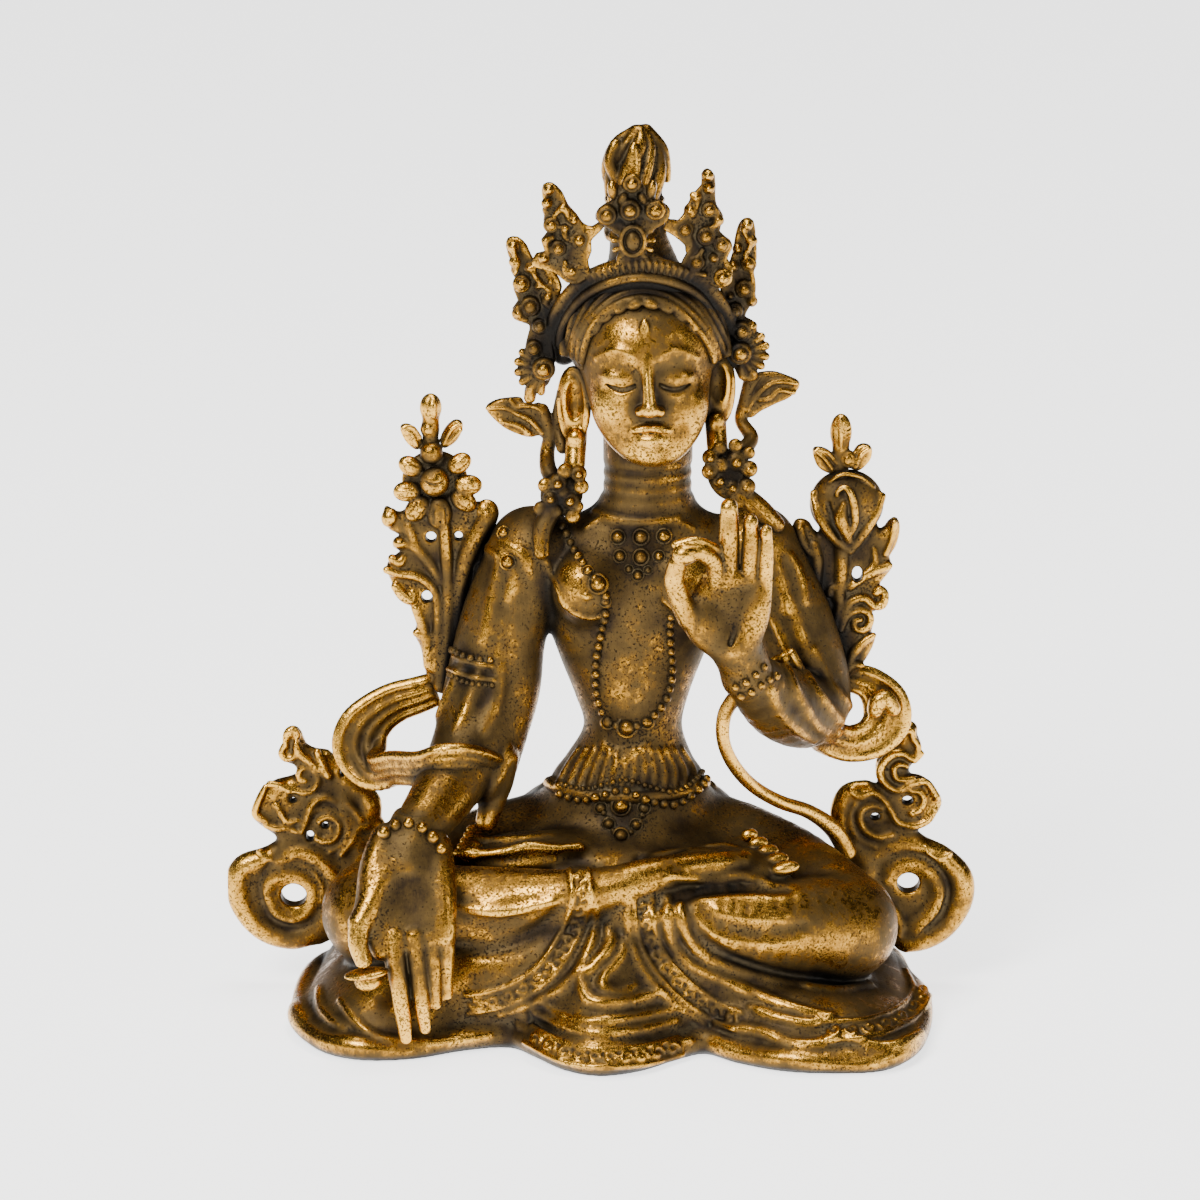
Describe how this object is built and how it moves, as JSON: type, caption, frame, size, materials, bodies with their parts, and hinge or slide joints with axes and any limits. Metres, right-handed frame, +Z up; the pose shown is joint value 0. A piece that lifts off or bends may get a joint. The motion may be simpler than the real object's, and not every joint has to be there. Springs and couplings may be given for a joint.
{
  "type": "tara figure",
  "caption": "Seated crowned Tara in gilded copper alloy, right hand lowered, left hand raised with a lotus stalk, openwork curls beside the knees and a lobed skirt hem to stand on.",
  "frame": {"origin": "on the flat underside, below the middle of the crossed legs", "axes": "+Z up, the figure faces -Y, +X towards its left hand"},
  "size_m": [0.1522, 0.0872, 0.1799],
  "materials": {
    "gilt_metal": "worn fire gilding over copper alloy, brown in the hollows"
  },
  "bodies": {
    "root": {"tara_figure": "gilt_metal"}
  },
  "joints": []
}
